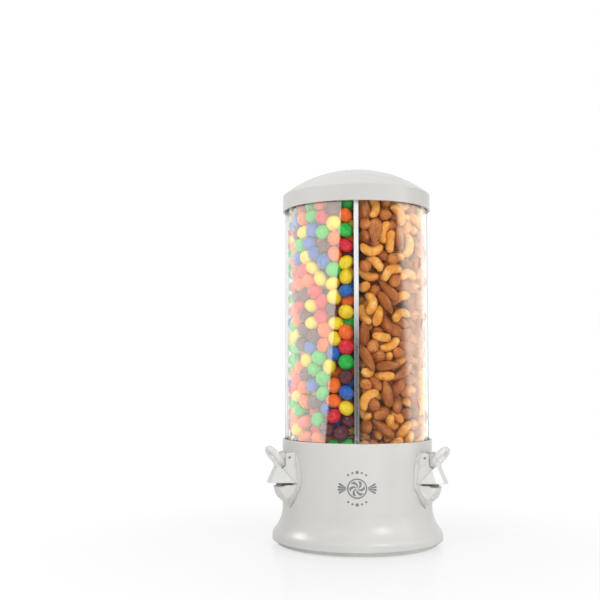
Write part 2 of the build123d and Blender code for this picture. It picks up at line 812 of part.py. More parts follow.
# Two screws from inside the housing into the corbel
with BuildPart() as spout_screws:
    head_seat = sqrt(housing_inner**2 - (spout_screw_spacing / 2 + spout_screw_head_radius) ** 2)
    with BuildSketch(Plane.YZ.offset(head_seat - spout_screw_head)):
        with Locations((0, spout_screw_height)):
            with GridLocations(spout_screw_spacing, 0, 2, 1):
                Circle(spout_screw_head_radius)
    extrude(amount=spout_screw_head)
    with BuildSketch(Plane.YZ.offset(head_seat)):
        with Locations((0, spout_screw_height)):
            with GridLocations(spout_screw_spacing, 0, 2, 1):
                Circle(spout_screw_radius)
    extrude(amount=spout_screw_reach - head_seat - eps)

# Hinge pin, held by the cheeks
with BuildPart() as hinge_pin:
    with BuildSketch(Plane.XZ):
        with Locations(pivot_point):
            Circle(pin_radius)
    extrude(amount=cheek_at_pin - visible_groove, both=True)

# Hood of the lever: the front of the beak, open below and towards the cowl
with BuildPart() as hood:
    add(beak(0, hood_bottom, hood_top, flange_face))
    hollow = beak(hood_wall, hood_bottom - hood_wall, hood_top - hood_wall, flange_face)
    add(hollow, mode=Mode.SUBTRACT)
    split(bisect_by=parting_plane, keep=Keep.TOP)

# Finger ring with rounded edges, leaning outward
lean = radians(ring_lean)
ring_plane = Plane(
    origin=(ring_reach, 0, ring_height), x_dir=(0, 1, 0), z_dir=(cos(lean), 0, -sin(lean))
)
with BuildPart() as finger_ring:
    with BuildSketch(ring_plane):
        Circle(ring_radius)
        Circle(ring_hole_radius, mode=Mode.SUBTRACT)
    extrude(amount=ring_thickness / 2, both=True)
    fillet(finger_ring.edges().filter_by(GeomType.CIRCLE), ring_rounding)

# Rounded knob where ring, arm and hood meet
with BuildPart() as knob:
    with BuildSketch(Plane.XZ):
        with Locations(knob_point):
            Circle(knob_radius)
    extrude(amount=knob_half_length, both=True)
    fillet(knob.edges().filter_by(GeomType.CIRCLE), knob_rounding)

# The spring's coil ends where its second leg points along the arm
arm_direction = degrees(atan2(-arm_fall, arm_run))
coil_turns = spring_turns + (arm_direction + 90) / 360
coil_half_length = spring_pitch * coil_turns / 2
leg_drift = spring_leg * sin(atan2(spring_pitch, 2 * pi * spring_coil))
spring_half_room = coil_half_length + leg_drift + spring_wire + moving_gap



def swung_back(reach, height, angle):
    """A point beside the pivot as the lever sees it once it has swung open by an angle."""
    turn = radians(angle)
    return reach * cos(turn) + height * sin(turn), height * cos(turn) - reach * sin(turn)


# Window in the barrel, through which the spring's standing leg passes while the lever swings
leg_room = spring_wire + moving_gap
leg_back, leg_front, leg_tip = -spring_coil - leg_room, leg_room - spring_coil, spring_leg + moving_gap
standing_leg_sweep = [
    (leg_back, 0),
    (leg_back, leg_tip),
    swung_back(leg_back, leg_tip, lever_swing / 2),
    swung_back(leg_front, leg_tip, lever_swing),
    swung_back(leg_front, 0, lever_swing),
]
standing_leg_room = spring_half_room - coil_half_length + leg_room

# Lever: barrel, arm, knob, ring and hood in one moulding, hollow where the spring sits
with BuildPart() as lever:
    with BuildSketch(Plane.XZ):
        with Locations(pivot_point):
            Circle(barrel_radius)
    extrude(amount=barrel_half_length, both=True)
    with BuildSketch(arm_plane):
        with Locations((0, arm_length / 2)):
            Rectangle(2 * arm_half_width, arm_length)
    extrude(amount=arm_half_thickness, both=True)
    with BuildSketch(Plane.XZ):
        with Locations(pivot_point):
            Circle(pin_radius + running_gap)
    extrude(amount=barrel_half_length, both=True, mode=Mode.SUBTRACT)
    with BuildSketch(Plane.XZ):
        with Locations(pivot_point):
            Circle(spring_room)
        with Locations((pivot_reach - spring_coil, pivot_height + spring_leg / 2)):
            Rectangle(2 * spring_wire + 2 * moving_gap, spring_leg + 2 * moving_gap)
    extrude(amount=spring_half_room, both=True, mode=Mode.SUBTRACT)
    with BuildSketch(Plane.XZ.offset(-spring_half_room)):
        with Locations(pivot_point):
            Polygon(*standing_leg_sweep, align=None)
    extrude(amount=standing_leg_room, mode=Mode.SUBTRACT)
    with BuildSketch(arm_plane.offset(spring_coil)):
        with Locations((0, (spring_leg + moving_gap) / 2)):
            Rectangle(2 * spring_half_room, spring_leg + moving_gap)
    extrude(amount=spring_wire + moving_gap / 2, both=True, mode=Mode.SUBTRACT)
    add(finger_ring.part)
    add(knob.part)
    add(hood.part)

# Torsion spring round the pin: one leg stands against the cowl, the other lies in the arm
with BuildPart() as torsion_spring:
    with BuildLine() as coil_path:
        Helix(spring_pitch, 2 * coil_half_length, spring_coil)
    start, end = coil_path.edge().position_at(0), coil_path.edge().position_at(1)
    start_way, end_way = coil_path.edge().tangent_at(0), coil_path.edge().tangent_at(1)
    with BuildSketch(Plane(origin=start, z_dir=start_way)):
        Circle(spring_wire)
    sweep(path=coil_path.edge(), is_frenet=True)
    with BuildSketch(Plane(origin=start, z_dir=-start_way)):
        Circle(spring_wire)
    extrude(amount=spring_leg)
    with BuildSketch(Plane(origin=end, z_dir=end_way)):
        Circle(spring_wire)
    extrude(amount=spring_leg)
spring_seat = Plane(
    origin=(pivot_reach, coil_half_length, pivot_height),
    x_dir=(-1, 0, 0),
    z_dir=(0, -1, 0),
)
print("spring: least gap between turns", round(spring_pitch - 2 * spring_wire, 2))

for side, azimuth in spout_azimuths.items():
    sub_parts = {
        "spout_body": spout_body.part,
        "spout_screws": spout_screws.part,
        "hinge_pin": hinge_pin.part,
        "lever": lever.part,
        "torsion_spring": spring_seat * torsion_spring.part,
    }
    for kind, solid in sub_parts.items():
        with BuildPart() as placed:
            add(solid, rotation=(0, 0, azimuth))
        finish(placed, f"{kind}_{side}")
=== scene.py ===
"""Looks of the three-way sweet and nut dispenser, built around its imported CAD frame."""

import json
import math

import bmesh
import bpy
import numpy as np
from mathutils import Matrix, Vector

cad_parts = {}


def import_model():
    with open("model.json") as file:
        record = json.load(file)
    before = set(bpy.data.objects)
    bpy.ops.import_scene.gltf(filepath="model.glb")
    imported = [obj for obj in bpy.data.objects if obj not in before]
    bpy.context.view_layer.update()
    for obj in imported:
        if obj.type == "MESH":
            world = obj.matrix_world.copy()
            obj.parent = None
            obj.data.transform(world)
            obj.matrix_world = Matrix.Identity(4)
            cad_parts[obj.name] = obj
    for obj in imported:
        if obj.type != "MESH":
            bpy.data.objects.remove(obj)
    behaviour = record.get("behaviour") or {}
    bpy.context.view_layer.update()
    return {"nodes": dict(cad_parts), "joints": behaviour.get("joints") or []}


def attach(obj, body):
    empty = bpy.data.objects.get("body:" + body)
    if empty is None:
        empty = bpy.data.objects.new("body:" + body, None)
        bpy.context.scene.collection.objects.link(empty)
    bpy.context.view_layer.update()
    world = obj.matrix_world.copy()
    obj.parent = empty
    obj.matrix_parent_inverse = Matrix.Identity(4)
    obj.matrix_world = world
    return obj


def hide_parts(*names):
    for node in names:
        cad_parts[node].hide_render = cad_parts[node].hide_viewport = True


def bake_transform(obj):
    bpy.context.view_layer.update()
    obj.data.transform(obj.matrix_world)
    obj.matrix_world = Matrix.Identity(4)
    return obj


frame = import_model()
nodes = frame["nodes"]
scene = bpy.context.scene

# The compartments by the azimuth of their middle, in degrees
SIDES = {"left": 210.0, "right": 330.0, "back": 90.0}
MM_PER_M = 1000
WHITE = (1, 1, 1, 1)

# Objects and nodes


def put(name, data):
    """A new object in the scene."""
    obj = bpy.data.objects.new(name, data)
    scene.collection.objects.link(obj)
    return obj


def new_material(name):
    material = bpy.data.materials.new(name)
    material.use_nodes = True
    return material, material.node_tree


def set_inputs(node, **values):
    """Sets the inputs named in values, with _ for a space."""
    for key, value in values.items():
        node.inputs[key.replace("_", " ")].default_value = value


def add_node(tree, kind, **values):
    """A node with its properties and the inputs that are named in values."""
    node = tree.nodes.new(kind)
    for key, value in values.items():
        if hasattr(node, key):
            setattr(node, key, value)
        else:
            set_inputs(node, **{key: value})
    return node


def place_on(tree, kind="ShaderNodeTexCoord", output="Object"):
    """The place of the shaded point."""
    return tree.nodes.new(kind).outputs[output]


def parts_of(tree, vector):
    """The X, Y and Z sockets of a vector."""
    node = tree.nodes.new("ShaderNodeSeparateXYZ")
    tree.links.new(vector, node.inputs[0])
    return node.outputs


def length_of(tree, vector):
    node = add_node(tree, "ShaderNodeVectorMath", operation="LENGTH")
    tree.links.new(vector, node.inputs[0])
    return node.outputs["Value"]


def calculate(tree, operation, *values):
    """The result of one operation on sockets and plain numbers."""
    node = add_node(tree, "ShaderNodeMath", operation=operation)
    for value, socket in zip(values, node.inputs):
        if isinstance(value, bpy.types.NodeSocket):
            tree.links.new(value, socket)
        else:
            socket.default_value = value
    return node.outputs[0]


def spread(tree, source, low, high, start=0.0, end=1.0, smooth=False):
    """The socket's range from start to end turned into low to high, and held beyond it."""
    node = add_node(tree, "ShaderNodeMapRange", interpolation_type="SMOOTHSTEP" if smooth else "LINEAR",
                    From_Min=start, From_Max=end, To_Min=low, To_Max=high)
    tree.links.new(source, node.inputs["Value"])
    return node.outputs["Result"]


def ramp(tree, source, stops):
    """A colour ramp fed by a socket: stops are (position, colour)."""
    node = tree.nodes.new("ShaderNodeValToRGB")
    while len(node.color_ramp.elements) < len(stops):
        node.color_ramp.elements.new(0.5)
    for element, (position, colour) in zip(node.color_ramp.elements, stops):
        element.position = position
        element.color = (*colour, 1)
    tree.links.new(source, node.inputs["Fac"])
    return node.outputs["Color"]


def noise(tree, scale, detail=3.0, roughness=0.5, vector=None, distortion=0.0):
    node = add_node(tree, "ShaderNodeTexNoise", Scale=scale, Detail=detail, Roughness=roughness,
                    Distortion=distortion)
    if vector is None:
        vector = place_on(tree)
    tree.links.new(vector, node.inputs["Vector"])
    return node.outputs["Fac"]


def bump(tree, height, strength, distance):
    node = add_node(tree, "ShaderNodeBump", Strength=strength, Distance=distance)
    tree.links.new(height, node.inputs["Height"])
    return node.outputs["Normal"]


def mixed(tree, share, first, second):
    """Two shaders, with the share of the second."""
    node = tree.nodes.new("ShaderNodeMixShader")
    for source, socket in zip((share, first, second), node.inputs):
        tree.links.new(source, socket)
    return node.outputs[0]


def linear(*srgb):
    """Linear colour from 8-bit display values."""
    return tuple((c / 255 / 12.92) if c <= 10 else ((c / 255 + 0.055) / 1.055) ** 2.4 for c in srgb)


def varied(name, tones, mottle, rough, patches, **constants):
    """A material whose colour runs through tones and whose roughness runs from low to high, each with
    a noise given by its scale and detail. Constants go to the shader's own inputs."""
    material, tree = new_material(name)
    shader = tree.nodes["Principled BSDF"]
    tree.links.new(ramp(tree, noise(tree, *mottle), tones), shader.inputs["Base Color"])
    tree.links.new(spread(tree, noise(tree, *patches), *rough), shader.inputs["Roughness"])
    set_inputs(shader, **constants)
    return material, tree, shader


def grained(tree, shader, grain, strength, depth):
    """Adds a fine grain, given by the scale and detail of its noise. Returns its bump node."""
    normal = bump(tree, noise(tree, *grain), strength, depth)
    tree.links.new(normal, shader.inputs["Normal"])
    return normal.node


# Materials of the CAD nodes


def shell_plastic(name, light, dark, rough, grain=0.02, edge=0.0006, glow=0.0):
    """Moulded plastic: faint mottle, uneven gloss, a fine grain and edges that shade as if rounded."""
    material, tree, shader = varied(
        name, tones=[(0.35, linear(*dark)), (0.65, linear(*light))], mottle=(22.0, 4.0),
        rough=(rough - 0.04, rough + 0.05), patches=(60.0, 3.0),
        IOR=1.46, Subsurface_Weight=glow, Subsurface_Scale=0.004)
    bumps = grained(tree, shader, (900.0, 2.0), strength=grain, depth=0.0004)
    rounded = add_node(tree, "ShaderNodeBevel", samples=6, Radius=edge)
    tree.links.new(rounded.outputs["Normal"], bumps.inputs["Normal"])
    return material


def clear_plastic(name, tint, edge_tint, face_gloss, haze=0.0, edge_gloss=0.6, falloff=7.0):
    """Thin clear plastic: lets everything through and mirrors more towards its edges, where its grey tint is
    painted shade for the darker look of the wall seen edge-on.
    """
    material, tree = new_material(name)
    tree.nodes.clear()
    output = tree.nodes.new("ShaderNodeOutputMaterial")
    facing = add_node(tree, "ShaderNodeLayerWeight", Blend=0.5).outputs["Facing"]
    clear = tree.nodes.new("ShaderNodeBsdfTransparent")
    # Towards the edges the tint turns grey: painted shade
    tree.links.new(ramp(tree, facing, [(0.62, tint), (0.9, edge_tint)]), clear.inputs["Color"])
    mirror = add_node(tree, "ShaderNodeBsdfGlossy", Color=WHITE)
    tree.links.new(spread(tree, noise(tree, 14.0, 2.0), 0.02, 0.05), mirror.inputs["Roughness"])
    share = spread(tree, calculate(tree, "POWER", facing, falloff), face_gloss, edge_gloss)
    surface = mixed(tree, share, clear.outputs[0], mirror.outputs[0])
    if haze:
        milky = add_node(tree, "ShaderNodeBsdfDiffuse", Color=(0.9, 0.9, 0.9, 1))
        cloud = spread(tree, noise(tree, 30.0, 3.0), haze * 0.8, haze * 1.2)
        surface = mixed(tree, cloud, surface, milky.outputs[0])
    tree.links.new(surface, output.inputs["Surface"])
    return material


def painted_edge_highlight(material, radius, low, high):
    """Paints a highlight on what lies beyond a radius: a pale white that stands in for the light a clear edge
    catches, fully above the height high and hardly below low, in metres.
    """
    tree = material.node_tree
    place = place_on(tree)
    flat = add_node(tree, "ShaderNodeVectorMath", operation="MULTIPLY")
    flat.inputs[1].default_value = (1, 1, 0)
    tree.links.new(place, flat.inputs[0])
    outside = calculate(tree, "GREATER_THAN", length_of(tree, flat.outputs[0]), radius)
    rise = spread(tree, parts_of(tree, place)["Z"], low=0.1, high=0.92, start=low, end=high)
    # Painted highlight: a pale diffuse white, with more of it higher up
    edge_highlight_white = tree.nodes.new("ShaderNodeBsdfDiffuse")
    tree.links.new(ramp(tree, noise(tree, 60.0, 3.0), [(0.3, (0.88, 0.88, 0.87)), (0.7, (0.95, 0.95, 0.94))]),
                   edge_highlight_white.inputs["Color"])
    surface = tree.nodes["Material Output"].inputs["Surface"]
    share = calculate(tree, "MULTIPLY", outside, rise)
    tree.links.new(mixed(tree, share, surface.links[0].from_socket, edge_highlight_white.outputs[0]), surface)


white = shell_plastic("gloss_white_plastic", (217, 215, 210), (212, 210, 205), 0.24)
lever_white = shell_plastic("lever_white_plastic", (226, 225, 221), (221, 219, 215), 0.26,
                            edge=0.0012, glow=0.12)
spout_white = shell_plastic("spout_white_plastic", (221, 219, 214), (216, 214, 209), 0.26,
                            edge=0.0012, glow=0.1)
insert_white = shell_plastic("insert_white_plastic", (218, 216, 211), (212, 210, 205), 0.38, grain=0.05)
# The bottom plate's white is lighter than the shell's: painted light on its rim, which lies in the shade
# under the flare
plate_white_painted_light = shell_plastic("plate_white_plastic", (226, 225, 221), (219, 218, 213), 0.4, grain=0.06)
# The second colour of each clear plastic is painted shade at its edges
clear_tube = clear_plastic("clear_tube_plastic", (0.996, 0.997, 0.997), (0.74, 0.78, 0.785),
                           face_gloss=0.032)
clear_divider = clear_plastic("clear_divider_plastic", (0.965, 0.97, 0.97), (0.86, 0.88, 0.88),
                              face_gloss=0.045, haze=0.05)
# The divider's outer edge gets a painted highlight, pale white that is strongest toward the top
painted_edge_highlight(clear_divider, radius=0.0640, low=0.185, high=0.235)

steel, tree, shader = varied(
    "zinc_plated_steel", tones=[(0.3, linear(150, 150, 148)), (0.7, linear(196, 196, 192))],
    mottle=(400.0, 4.0), rough=(0.22, 0.4), patches=(1500.0, 3.0), Metallic=1.0)
grained(tree, shader, (3000.0, 2.0), strength=0.05, depth=0.0002)
rubber, tree, shader = varied(
    "grey_rubber", tones=[(0.3, linear(44, 44, 45)), (0.7, linear(60, 60, 60))],
    mottle=(120.0, 5.0), rough=(0.7, 0.9), patches=(300.0, 3.0))
grained(tree, shader, (1200.0, 3.0), strength=0.3, depth=0.0004)

finish_of = {"non_slip_pad": rubber, "tube": clear_tube, "divider": clear_divider,
             "hopper_insert": insert_white, "bottom_plate": plate_white_painted_light}
for name, node in nodes.items():
    if any(word in name for word in ("screws", "pin", "spring")):
        material = steel
    elif name.startswith("lever"):
        material = lever_white
    elif name.startswith("spout_body"):
        material = spout_white
    else:
        material = finish_of.get(name, white)
    node.data.materials.clear()
    node.data.materials.append(material)

# Springs round the hinge pins, one leg on the base and the other on the lever: each CAD spring is copied into
# a coil of its own with its place baked in, and the CAD spring is hidden

for joint in frame["joints"]:
    if not joint["name"].startswith("lever_"):
        continue
    side = joint["name"].replace("lever_", "").replace("_pivot", "")
    coil = put("coil_spring_" + side, nodes["torsion_spring_" + side].data.copy())
    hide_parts("torsion_spring_" + side)
    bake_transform(coil)

# Room for the contents, in mm: tube and spigot, sloped floor, divider with its ridge and beads, lid

TUBE_R, SPIGOT_R, SPIGOT_TOP = 66.6, 63.0, 94.0
FLOOR_LOW, FLOOR_R, FLOOR_SLOPE = 60.0, 66.3, math.tan(math.radians(24))
RIDGE_SLOPE = FLOOR_SLOPE * math.cos(math.pi / 3)
APEX = FLOOR_LOW + FLOOR_R * FLOOR_SLOPE
DIVIDER_HALF, RIDGE_HALF, RIDGE_RISE, RIDGE_MARGIN = 1.0, 3.5, 7.0, 0.5
BEAD_HALF, BEAD_REACH = 2.1, 66.1
HEAP_TOP, LID_RING_BOTTOM, LID_RING_R = 323.5, 318.0, 63.0

# Packing, in mm: gaps kept to the walls, growth of the balls, search for neighbours, damping and drift

SCATTER_R, SCATTER_GAP = 3.0, 0.3
SETTLE_GAP, LAST_GAP, LAST_PASSES = 0.35, 0.3, 30
FIRST_SIZE, GROWTH = 0.55, 0.6
SEARCH_EVERY, SEARCH_BLOCK, SEARCH_MARGIN = 8, 400, 3.0
CROWD_DAMPING, CLUMP_DAMPING = 0.3, 0.6
DRIFT, DRIFT_UNTIL = 0.05, 0.8
TINY = 1e-9


class Room:
    """One third of the tube and of the hopper under it."""

    def __init__(self, azimuth):
        a = math.radians(azimuth)
        self.out = np.array([math.cos(a), math.sin(a)])
        self.walls = []
        for side in (1, -1):
            w = a + side * math.pi / 3
            self.walls.append(side * np.array([math.sin(w), -math.cos(w)]))

    def push(self, p, r, gap):
        """Where each ball has to go to be inside, as a shift."""
        shift = np.zeros_like(p)
        ridge_top = APEX - RIDGE_SLOPE * np.hypot(p[:, 0], p[:, 1]) + RIDGE_RISE
        low = p[:, 2] < ridge_top + RIDGE_MARGIN * r
        half = np.where(low, RIDGE_HALF, DIVIDER_HALF)
        half = np.where(np.hypot(p[:, 0], p[:, 1]) + r > BEAD_REACH, np.maximum(half, BEAD_HALF), half) + gap
        for wall in self.walls:
            depth = half + r - p[:, :2] @ wall
            depth = np.maximum(depth, 0)
            shift[:, :2] += depth[:, None] * wall
        q = p + shift
        reach = np.hypot(q[:, 0], q[:, 1]) + TINY
        open_share = np.clip((q[:, 2] - SPIGOT_TOP) / np.maximum(r, 1e-6), 0, 1)
        limit = SPIGOT_R + (TUBE_R - SPIGOT_R) * open_share - r - gap
        limit = np.where(q[:, 2] + r > LID_RING_BOTTOM, LID_RING_R - r - gap, limit)
        over = np.maximum(reach - limit, 0)
        shift[:, :2] -= (over / reach)[:, None] * q[:, :2]
        q = p + shift
        floor = FLOOR_LOW + (FLOOR_R - q[:, :2] @ self.out) * FLOOR_SLOPE
        rise = floor + (r + gap) * math.hypot(1, FLOOR_SLOPE) - q[:, 2]
        shift[:, 2] += np.maximum(rise, 0)
        q = p + shift
        shift[:, 2] -= np.maximum(q[:, 2] + r + gap - HEAP_TOP, 0)
        return shift

    def scatter(self, count, rng):
        """Random places in the room, evenly spread."""
        places = []
        while len(places) < count:
            p = np.array([rng.uniform(-TUBE_R, TUBE_R), rng.uniform(-TUBE_R, TUBE_R),
                          rng.uniform(FLOOR_LOW, HEAP_TOP)])
            if np.abs(self.push(p[None, :], np.array([SCATTER_R]), SCATTER_GAP)).sum() == 0:
                places.append(p)
        return np.array(places)


def turn(vectors):
    """Rotation matrices of rotation vectors."""
    angle = np.linalg.norm(vectors, axis=1) + 1e-12
    k = vectors / angle[:, None]
    cross = np.zeros((len(k), 3, 3))
    cross[:, 0, 1], cross[:, 0, 2] = -k[:, 2], k[:, 1]
    cross[:, 1, 0], cross[:, 1, 2] = k[:, 2], -k[:, 0]
    cross[:, 2, 0], cross[:, 2, 1] = -k[:, 1], k[:, 0]
    s, c = np.sin(angle)[:, None, None], (1 - np.cos(angle))[:, None, None]
    return np.eye(3)[None] + s * cross + c * (cross @ cross)


def random_turns(count, rng):
    """Rotation matrices spread evenly over all turns."""
    q = rng.normal(size=(count, 4))
    q /= np.linalg.norm(q, axis=1)[:, None]
    w, x, y, z = q.T
    return np.stack([
        np.stack([1 - 2 * (y * y + z * z), 2 * (x * y - z * w), 2 * (x * z + y * w)], 1),
        np.stack([2 * (x * y + z * w), 1 - 2 * (x * x + z * z), 2 * (y * z - x * w)], 1),
        np.stack([2 * (x * z - y * w), 2 * (y * z + x * w), 1 - 2 * (x * x + y * y)], 1)], 1)


def close_pairs(p, radius, body):
    """Pairs of balls of different clumps that may soon touch."""
    near = []
    for start in range(0, len(p), SEARCH_BLOCK):
        d2 = ((p[start:start + SEARCH_BLOCK, None] - p[None]) ** 2).sum(2)
        reach = radius[start:start + SEARCH_BLOCK, None] + radius[None] + SEARCH_MARGIN
        i, j = np.nonzero(d2 < reach**2)
        i += start
        keep = (i < j) & (body[i] != body[j])
        near.append(np.stack([i[keep], j[keep]]))
    return np.concatenate(near, 1)


def pack(room, kinds, counts, seed, rounds):
    """Fills a room with rigid clumps of balls. Returns kind, centre and turn of each clump."""
    rng = np.random.default_rng(seed)
    kind = np.repeat(np.arange(len(kinds)), counts)
    rng.shuffle(kind)
    centre = room.scatter(len(kind), rng)
    rotation = random_turns(len(kind), rng)
    body = np.concatenate([np.full(len(kinds[k]), b) for b, k in enumerate(kind)])
    local = np.concatenate([np.array([ball[:3] for ball in kinds[k]], float) for k in kind])
    radius = np.concatenate([np.array([ball[3] for ball in kinds[k]], float) for k in kind])
    size = np.bincount(body)
    inertia = np.bincount(body, (local**2).sum(1) + radius**2)
    for step in range(rounds):
        grown = min(1.0, FIRST_SIZE + GROWTH * step / rounds)
        rel = np.einsum("nij,nj->ni", rotation[body], local)
        p = centre[body] + rel
        r = radius * grown
        if step % SEARCH_EVERY == 0:
            i, j = close_pairs(p, radius, body)
        gap = p[j] - p[i]
        far = np.sqrt((gap**2).sum(1)) + TINY
        depth = np.maximum(r[i] + r[j] - far, 0)
        hit = depth > 0
        half = 0.5 * (depth / far)[:, None] * gap
        shift = np.zeros_like(p)
        for axis in range(3):
            shift[:, axis] = np.bincount(j, half[:, axis], len(p)) - np.bincount(i, half[:, axis], len(p))
        touch = np.bincount(i, hit, len(p)) + np.bincount(j, hit, len(p))
        shift /= (1 + CROWD_DAMPING * np.maximum(touch - 1, 0))[:, None]
        shift += room.push(p + shift, r, SETTLE_GAP)
        mean = np.stack([np.bincount(body, shift[:, axis]) for axis in range(3)], 1)
        lean = np.cross(rel, shift)
        spin = np.stack([np.bincount(body, lean[:, axis]) for axis in range(3)], 1) / inertia[:, None]
        centre = centre + mean / np.maximum(1, CLUMP_DAMPING * size)[:, None]
        # Everything drifts a little outwards while it settles, so the wall of the tube is well covered
        if step < DRIFT_UNTIL * rounds:
            reach = np.hypot(centre[:, 0], centre[:, 1])[:, None] + TINY
            centre[:, :2] += DRIFT * centre[:, :2] / reach
        rotation = turn(spin) @ rotation
    # The last passes move each clump as a whole, so that nothing reaches into a wall
    for _ in range(LAST_PASSES):
        rel = np.einsum("nij,nj->ni", rotation[body], local)
        wall = room.push(centre[body] + rel, radius, LAST_GAP)
        worst = np.zeros_like(centre)
        for axis in range(3):
            high = np.zeros(len(centre))
            low = np.zeros(len(centre))
            np.maximum.at(high, body, wall[:, axis])
            np.minimum.at(low, body, wall[:, axis])
            worst[:, axis] = high + low
        centre = centre + worst
    return kind, centre, rotation


# Shapes of the contents, in mm, with their length along X; the cashew's arc is in radians

SWEET_HALF = (7.35, 7.35, 6.1)
ALMOND_LENGTH, ALMOND_HALF_WIDTH, ALMOND_HALF_THICK = 27.0, 7.2, 4.8
ALMOND_MIDDLE, ALMOND_POINT, ALMOND_END = 0.45, 0.72, 0.02
CASHEW_R, CASHEW_ARC, CASHEW_STRETCH, CASHEW_DROP = 8.4, 2.9, 1.1, 4.6
CASHEW_HALF_WIDTH, CASHEW_TAPER, CASHEW_BLUNT, CASHEW_END = 4.5, 0.8, 3.2, 0.05
CASHEW_THICK_SHARE = 1.02
HAZELNUT_HALF, HAZELNUT_POINT = (6.1, 5.6, 5.6), 0.9


def cube_ball(n):
    """Unit ball of quads: n by n on each side of a cube."""
    verts, quads, index = [], [], {}

    def vert(p):
        key = tuple(np.round(p, 6))
        if key not in index:
            index[key] = len(verts)
            v = np.tan(np.array(p) * math.pi / 4)
            verts.append(v / np.linalg.norm(v))
        return index[key]

    for axis in range(3):
        for sign in (-1, 1):
            for u in range(n):
                for v in range(n):
                    corner = []
                    for du, dv in ((0, 0), (1, 0), (1, 1), (0, 1)):
                        p = [0, 0, 0]
                        p[axis] = sign
                        p[(axis + 1) % 3] = -1 + 2 * (u + du) / n
                        p[(axis + 2) % 3] = -1 + 2 * (v + dv) / n
                        corner.append(vert(p))
                    quads.append(corner if sign > 0 else corner[::-1])
    return np.array(verts), np.array(quads)


def rings_mesh(points, frames, widths, thicks, around):
    """A closed skin round a line: rings of an oval section, drawn shut at both ends."""
    verts = []
    angles = np.arange(around) * 2 * math.pi / around
    for p, (side, up), w, t in zip(points, frames, widths, thicks):
        for a in angles:
            verts.append(p + side * w * math.cos(a) + up * t * math.sin(a))
    quads = []
    for ring in range(len(points) - 1):
        for k in range(around):
            a, b = ring * around + k, ring * around + (k + 1) % around
            quads.append([a, b, b + around, a + around])
    return np.array(verts), np.array(quads)


def almond_shape(long, around):
    """Skin of an almond: blunt at one end, pointed at the other."""
    u = (1 - np.cos(np.linspace(0, math.pi, long))) / 2
    profile = np.sqrt(np.clip(u, 0, 1)) * np.clip(1 - u, 0, 1) ** ALMOND_POINT
    profile = profile / profile.max()
    profile[0] = profile[-1] = ALMOND_END
    x = (u - ALMOND_MIDDLE) * ALMOND_LENGTH
    frames = [(np.array([0, 1.0, 0]), np.array([0, 0, 1.0]))] * long
    points = [np.array([v, 0, 0]) for v in x]
    return rings_mesh(points, frames, profile * ALMOND_HALF_WIDTH, profile * ALMOND_HALF_THICK, around)


def cashew_shape(long, around):
    """Skin of a cashew: a thick C, fuller at one end."""
    u = np.linspace(0, 1, long)
    points, frames = [], []
    for a in (u - 0.5) * CASHEW_ARC:
        points.append(np.array([CASHEW_R * math.sin(a) * CASHEW_STRETCH,
                                CASHEW_R * math.cos(a) - CASHEW_DROP, 0]))
        frames.append((np.array([math.sin(a), math.cos(a), 0]), np.array([0, 0, 1.0])))
    end = np.abs(2 * u - 1)
    width = np.sqrt(np.clip(1 - end**CASHEW_BLUNT, 0, 1)) * (CASHEW_HALF_WIDTH + CASHEW_TAPER * (0.5 - u))
    width[0] = width[-1] = CASHEW_END
    return rings_mesh(points, frames, width, width * CASHEW_THICK_SHARE, around)


def hazelnut_shape(n):
    """A round nut with a slight point."""
    verts, quads = cube_ball(n)
    verts = verts * np.array(HAZELNUT_HALF)
    tip = np.clip(verts[:, 0] / HAZELNUT_HALF[0], 0, 1) ** 6
    verts[:, 0] += HAZELNUT_POINT * tip
    return verts, quads


def sweet_shape(n):
    """A sugar-coated sweet: a ball pressed a little flat."""
    verts, quads = cube_ball(n)
    return verts * np.array(SWEET_HALF), quads


# Each copy's own UV map: its length and its girth, moved by a random number of steps each way, so
# that copies don't share their streaks

OWN_LENGTH, OWN_STEP, OWN_STEPS = 12.0, 3.0, 40


def joined(name, shape, centres, rotations, scales, material):
    """Many copies of one shape as one object, riding on the base."""
    verts, quads = shape
    count, size = len(centres), len(verts)
    placed = np.einsum("nij,nvj->nvi", rotations, verts[None] * scales[:, None, None]) + centres[:, None]
    placed = placed.reshape(-1, 3) / MM_PER_M
    faces = (quads[None] + (np.arange(count) * size)[:, None, None]).reshape(-1, 4)
    mesh = bpy.data.meshes.new(name)
    mesh.vertices.add(len(placed))
    mesh.vertices.foreach_set("co", placed.astype(np.float32).ravel())
    mesh.loops.add(faces.size)
    mesh.loops.foreach_set("vertex_index", faces.astype(np.int32).ravel())
    mesh.polygons.add(len(faces))
    mesh.polygons.foreach_set("loop_start", np.arange(0, faces.size, 4, dtype=np.int32))
    mesh.polygons.foreach_set("use_smooth", np.ones(len(faces), bool))
    uv = mesh.uv_layers.new(name="own")
    own = verts[:, 0] / OWN_LENGTH + 0.5
    across = np.arctan2(verts[:, 2], verts[:, 1]) / math.pi
    tone = np.random.default_rng(len(name) * 7 + count).random(count)
    u = own[quads].ravel()[None] + OWN_STEP * np.floor(tone * OWN_STEPS)[:, None]
    v = across[quads].ravel()[None] + OWN_STEP * np.floor(tone * OWN_STEPS**2 % OWN_STEPS)[:, None]
    uv.data.foreach_set("uv", np.stack([u.ravel(), v.ravel()], 1).astype(np.float32).ravel())
    mesh.update(calc_edges=True)
    mesh.validate()
    mesh.materials.append(material)
    obj = put(name, mesh)
    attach(obj, "base")


def own_vector(tree, scale):
    """Each copy's own coordinates, stretched."""
    uv = tree.nodes.new("ShaderNodeUVMap")
    uv.uv_map = "own"
    mapping = add_node(tree, "ShaderNodeMapping", Scale=scale)
    tree.links.new(uv.outputs["UV"], mapping.inputs["Vector"])
    return mapping.outputs["Vector"]


